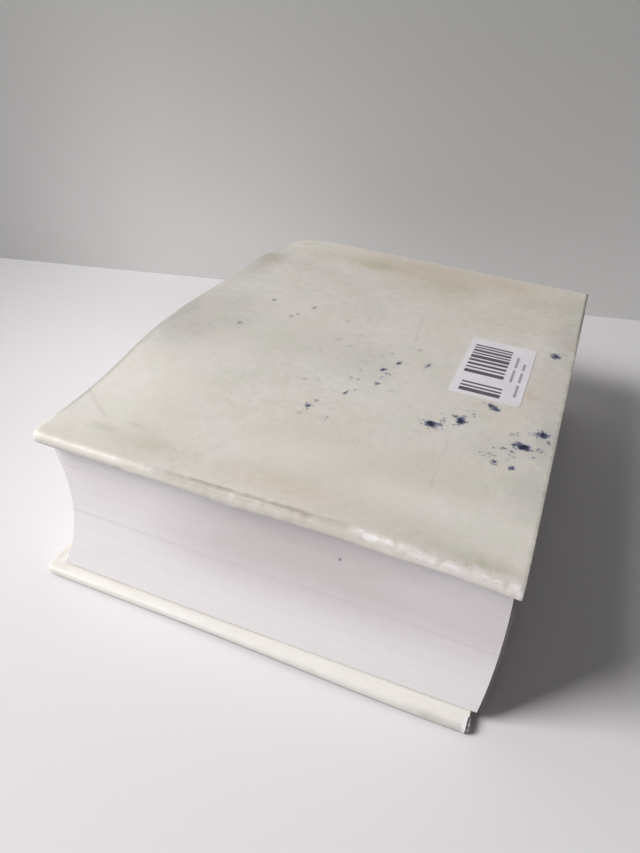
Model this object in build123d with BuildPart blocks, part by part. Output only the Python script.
from build123d import *
import os

# A very thick book in white wrapped boards, lying on its front cover with the back cover up.
# Each cover is a grey board wrapped in a white covering, whose three turned in edges show on its inside.
# The leaves are one block, hollow at the fore edge and slightly round at the back.
# Millimetres. X runs from the fore edge to the spine, Y from the tail to the head, Z up.
# The origin is on the table, under the middle of the closed book.

os.makedirs("parts", exist_ok=True)

# Block of leaves
leaf_width = 166.0
leaf_length = 228.0
block_thickness = 60.8
fore_edge_hollow = 7.6
back_round = 1.3
gathering_count = 30
groove_width = 0.25
groove_depth = 0.15

# Layers
board_thickness = 3.2
covering_thickness = 0.6
endpaper_thickness = 0.15
lining_thickness = 0.35
spine_strip_thickness = 0.45
paste_thickness = 0.05

# Where the front cover ends: past the leaves on three sides, and short of them at the spine
fore_edge_square = 5.9
end_square = 6.0
spine_setback = 1.9
# The back cover has slid this far towards the spine over the front cover
cover_slip = 4.2

# Details of both covers
corner_radius = 3.0
edge_softness = 1.5
turn_in_width = 16.0
mitre_gap = 0.4
endpaper_margin = 3.5
hinge_cloth_width = 14.0
hinge_cloth_clearance = 1.0

# Label on the back cover
label_width = 29.0
label_length = 54.0
label_thickness = 0.12
label_corner = 1.0
label_from_spine = 16.5
label_along = 6.0

# The back cover has bowed upwards in use, from a line beside the label to its fore edge
bow_rise = 8.2
bow_from_label = 20.5
# Share of the rise along the fore edge, from the tail at -0.5 to the head at 0.5 of the cover's length
bow_shape = [
    (-0.5, 0.0),
    (-0.44, 0.02),
    (-0.365, 0.12),
    (-0.29, 0.42),
    (-0.21, 0.84),
    (-0.02, 0.96),
    (0.165, 0.72),
    (0.26, 0.68),
    (0.355, 0.22),
    (0.44, 0.03),
    (0.5, 0.0),
]

# Depths below a cover's outer face
board_outer = covering_thickness
board_inner = board_outer + board_thickness
turn_in_inner = board_inner + covering_thickness
endpaper_outer = turn_in_inner + paste_thickness
cover_thickness = endpaper_outer + endpaper_thickness

# Places
cover_width = leaf_width + fore_edge_square - spine_setback
cover_length = leaf_length + 2 * end_square
front_centre = -cover_slip / 2
back_centre = cover_slip / 2
back_fore_edge = back_centre - cover_width / 2
back_spine_edge = back_centre + cover_width / 2
leaf_fore_edge = front_centre - cover_width / 2 + fore_edge_square
leaf_back = leaf_fore_edge + leaf_width
leaf_middle = leaf_fore_edge + leaf_width / 2
block_bottom = cover_thickness
block_top = block_bottom + block_thickness
block_middle = block_bottom + block_thickness / 2
book_top = block_top + cover_thickness
label_centre = back_spine_edge - label_from_spine - label_width / 2
bow_start = label_centre - label_width / 2 - bow_from_label
bow_width = bow_start - back_fore_edge
# A board's edge is rounded no more than its thickness and its corner allow
board_edge_radius = min(
    edge_softness, 0.47 * board_thickness, 0.8 * (corner_radius - covering_thickness)
)
# Far enough past a face for a clean cut
beyond = 5.0


# Block of leaves: each gathering of leaves stands out by the depth of the fine groove beside it


def leaf_profile(setback):
    with BuildSketch(Plane.XZ) as profile:
        with BuildLine():
            ThreePointArc(
                (leaf_fore_edge + setback, block_bottom),
                (leaf_fore_edge + fore_edge_hollow + setback, block_middle),
                (leaf_fore_edge + setback, block_top),
            )
            Line((leaf_fore_edge + setback, block_top), (leaf_back, block_top))
            ThreePointArc(
                (leaf_back, block_top),
                (leaf_back + back_round, block_middle),
                (leaf_back, block_bottom),
            )
            Line((leaf_back, block_bottom), (leaf_fore_edge + setback, block_bottom))
        make_face()
    return profile.sketch


gathering_pitch = block_thickness / gathering_count

with BuildPart() as text_block:
    extrude(leaf_profile(groove_depth), amount=leaf_length / 2 - groove_depth, both=True)
    with BuildSketch(Plane.XZ):
        add(leaf_profile(0))
        with Locations((leaf_middle, block_middle)):
            with GridLocations(1, gathering_pitch, 1, gathering_count - 1):
                Rectangle(leaf_width + 2 * beyond, groove_width, mode=Mode.SUBTRACT)
    extrude(amount=leaf_length / 2, both=True)
text_block.part.label = "text_block"
export_step(text_block.part, "parts/text_block.step")


# Spine: a cloth lining on the leaves' back, and the plain strip over it


def back_layer(depth, thickness):
    inner = leaf_back + depth
    outer = inner + thickness
    with BuildSketch(Plane.XZ) as layer:
        with BuildLine():
            ThreePointArc(
                (inner, block_bottom), (inner + back_round, block_middle), (inner, block_top)
            )
            Line((inner, block_top), (outer, block_top))
            ThreePointArc(
                (outer, block_top), (outer + back_round, block_middle), (outer, block_bottom)
            )
            Line((outer, block_bottom), (inner, block_bottom))
        make_face()
    return layer.sketch


with BuildPart() as spine_lining:
    extrude(back_layer(paste_thickness, lining_thickness), amount=leaf_length / 2, both=True)
spine_lining.part.label = "spine_lining"
export_step(spine_lining.part, "parts/spine_lining.step")

with BuildPart() as spine_strip:
    strip_depth = 2 * paste_thickness + lining_thickness
    extrude(back_layer(strip_depth, spine_strip_thickness), amount=leaf_length / 2, both=True)
spine_strip.part.label = "spine_strip"
export_step(spine_strip.part, "parts/spine_strip.step")


# The space under the back cover's outer face. A copy of it, lowered, ends at any depth in that cover.

bow_past = back_fore_edge - beyond
form_half_length = cover_length / 2 + beyond
form_floor = block_middle


def bow_section(x):
    growth = ((bow_start - x) / bow_width) ** 2
    crest = [
        (along * cover_length, book_top + share * growth * bow_rise) for along, share in bow_shape
    ]
    with BuildSketch(Plane.YZ.offset(x)) as section:
        with BuildLine():
            Line((-form_half_length, book_top), crest[0])
            Spline(*crest, tangents=((1, 0), (1, 0)))
            Line(crest[-1], (form_half_length, book_top))
            Line((form_half_length, book_top), (form_half_length, form_floor))
            Line((form_half_length, form_floor), (-form_half_length, form_floor))
            Line((-form_half_length, form_floor), (-form_half_length, book_top))
        make_face()
    return section.sketch


with BuildPart() as bowed_space:
    stations = [bow_start, (bow_start + bow_past) / 2, bow_past]
    loft([bow_section(x).face() for x in stations])
    flat_width = back_spine_edge + beyond - bow_start
    with BuildSketch(Plane.XY.offset(form_floor)):
        with Locations((bow_start + flat_width / 2, 0)):
            Rectangle(flat_width, 2 * form_half_length)
    extrude(amount=book_top - form_floor)


# The front cover is flat, and its outer face lies on the table
with BuildPart() as flat_space:
    with BuildSketch():
        with Locations((front_centre, 0)):
            Rectangle(cover_width + 2 * beyond, 2 * form_half_length)
    extrude(amount=form_floor)


# Pieces of a cover, worked out from its middle, the space behind its outer face and the way inwards


def cover_outline(centre, margin, fore_radius):
    """Flush with the spine edge, and inside the other three edges by the margin."""
    width = cover_width - margin
    with BuildSketch() as outline:
        with Locations((centre + margin / 2, 0)):
            Rectangle(width, cover_length - 2 * margin)
        if fore_radius > 0:
            fillet(outline.vertices().group_by(Axis.X)[0], radius=fore_radius)
    return outline.sketch


def cover_slab(outline, space, inwards, outer, inner):
    """The part of a cover between two depths under its outer face."""
    with BuildPart() as slab:
        extrude(outline, amount=book_top + 2 * bow_rise)
        add(Pos(0, 0, inwards * outer) * space, mode=Mode.INTERSECT)
        add(Pos(0, 0, inwards * inner) * space, mode=Mode.SUBTRACT)
    return slab.part


def rim_edges(part, centre):
    """The edges round the outer and inner faces, without those at the spine edge."""
    # Less than this is no width at all
    hair = 0.01
    rim = []
    for edge in part.edges():
        size = edge.bounding_box().size
        upright = size.X < hair and size.Y < hair
        across = size.X < hair and edge.center().X > centre - cover_width / 2 + corner_radius
        if not upright and not across:
            rim.append(edge)
    return rim


def board_form(centre, space, inwards):
    outline = cover_outline(centre, covering_thickness, corner_radius - covering_thickness)
    with BuildPart() as board:
        add(cover_slab(outline, space, inwards, board_outer, board_inner))
        fillet(rim_edges(board.part, centre), radius=board_edge_radius)
    return board.part


def mitres(centre):
    """Where the turned in edges meet at the two fore edge corners."""
    run = turn_in_width + mitre_gap - corner_radius
    with BuildSketch() as gaps:
        for side in (1, -1):
            middle_x = centre - cover_width / 2 + corner_radius + run / 2
            middle_y = side * (cover_length / 2 - corner_radius - run / 2)
            with Locations((middle_x, middle_y)):
                Rectangle(run * 2**0.5, mitre_gap, rotation=-45 * side)
    return gaps.sketch


def covering_form(centre, space, inwards, board):
    outline = cover_outline(centre, 0, corner_radius)
    window = cover_outline(centre, turn_in_width, 0)
    with BuildPart() as covering:
        add(cover_slab(outline, space, inwards, 0, turn_in_inner))
        fillet(rim_edges(covering.part, centre), radius=board_edge_radius + covering_thickness)
        add(board, mode=Mode.SUBTRACT)
        for cut in (window, mitres(centre)):
            add(
                cover_slab(cut, space, inwards, board_inner, cover_thickness), mode=Mode.SUBTRACT
            )
    return covering.part


def hinge_cloth_form(centre, space, inwards):
    """The half of the cloth hinge that is glued inside the cover."""
    length = cover_length - 2 * (turn_in_width + hinge_cloth_clearance)
    with BuildSketch() as outline:
        with Locations((centre + cover_width / 2 - hinge_cloth_width / 2, 0)):
            Rectangle(hinge_cloth_width, length)
    return cover_slab(outline.sketch, space, inwards, board_inner, turn_in_inner)


def sunk_area(centre, margin):
    """The board's bare area between the turned in edges and the hinge cloth."""
    left = centre - cover_width / 2 + turn_in_width + margin
    right = centre + cover_width / 2 - hinge_cloth_width - margin
    with BuildSketch() as area:
        with Locations(((left + right) / 2, 0)):
            Rectangle(right - left, cover_length - 2 * (turn_in_width + margin))
    return area.sketch


def endpaper_form(centre, space, inwards):
    """The paper over the cover's inside, which dips to the board between the turned in edges."""
    dip = board_inner + paste_thickness
    dip_inner = dip + endpaper_thickness
    past = cover_thickness + covering_thickness
    with BuildPart() as endpaper:
        add(
            cover_slab(
                cover_outline(centre, endpaper_margin, 0),
                space,
                inwards,
                endpaper_outer,
                cover_thickness,
            )
        )
        add(cover_slab(sunk_area(centre, 0), space, inwards, dip, cover_thickness))
        hollow = sunk_area(centre, endpaper_thickness)
        add(cover_slab(hollow, space, inwards, dip_inner, past), mode=Mode.SUBTRACT)
    return endpaper.part


# Front cover, under the leaves
front = (front_centre, flat_space.part, 1)

with BuildPart() as front_board:
    add(board_form(*front))
front_board.part.label = "front_board"
export_step(front_board.part, "parts/front_board.step")

with BuildPart() as front_covering:
    add(covering_form(*front, front_board.part))
front_covering.part.label = "front_covering"
export_step(front_covering.part, "parts/front_covering.step")

with BuildPart() as front_hinge_cloth:
    add(hinge_cloth_form(*front))
front_hinge_cloth.part.label = "front_hinge_cloth"
export_step(front_hinge_cloth.part, "parts/front_hinge_cloth.step")

with BuildPart() as front_endpaper:
    add(endpaper_form(*front))
front_endpaper.part.label = "front_endpaper"
export_step(front_endpaper.part, "parts/front_endpaper.step")

# Back cover, on the leaves, with its bowed fore edge
back = (back_centre, bowed_space.part, -1)

with BuildPart() as back_board:
    add(board_form(*back))
back_board.part.label = "back_board"
export_step(back_board.part, "parts/back_board.step")

with BuildPart() as back_covering:
    add(covering_form(*back, back_board.part))
back_covering.part.label = "back_covering"
export_step(back_covering.part, "parts/back_covering.step")

with BuildPart() as back_hinge_cloth:
    add(hinge_cloth_form(*back))
back_hinge_cloth.part.label = "back_hinge_cloth"
export_step(back_hinge_cloth.part, "parts/back_hinge_cloth.step")

with BuildPart() as back_endpaper:
    add(endpaper_form(*back))
back_endpaper.part.label = "back_endpaper"
export_step(back_endpaper.part, "parts/back_endpaper.step")

# Label, on the flat of the back cover beside the spine
with BuildPart() as label:
    with BuildSketch(Plane.XY.offset(book_top)):
        with Locations((label_centre, label_along)):
            RectangleRounded(label_width, label_length, label_corner)
    extrude(amount=label_thickness)
label.part.label = "label"
export_step(label.part, "parts/label.step")
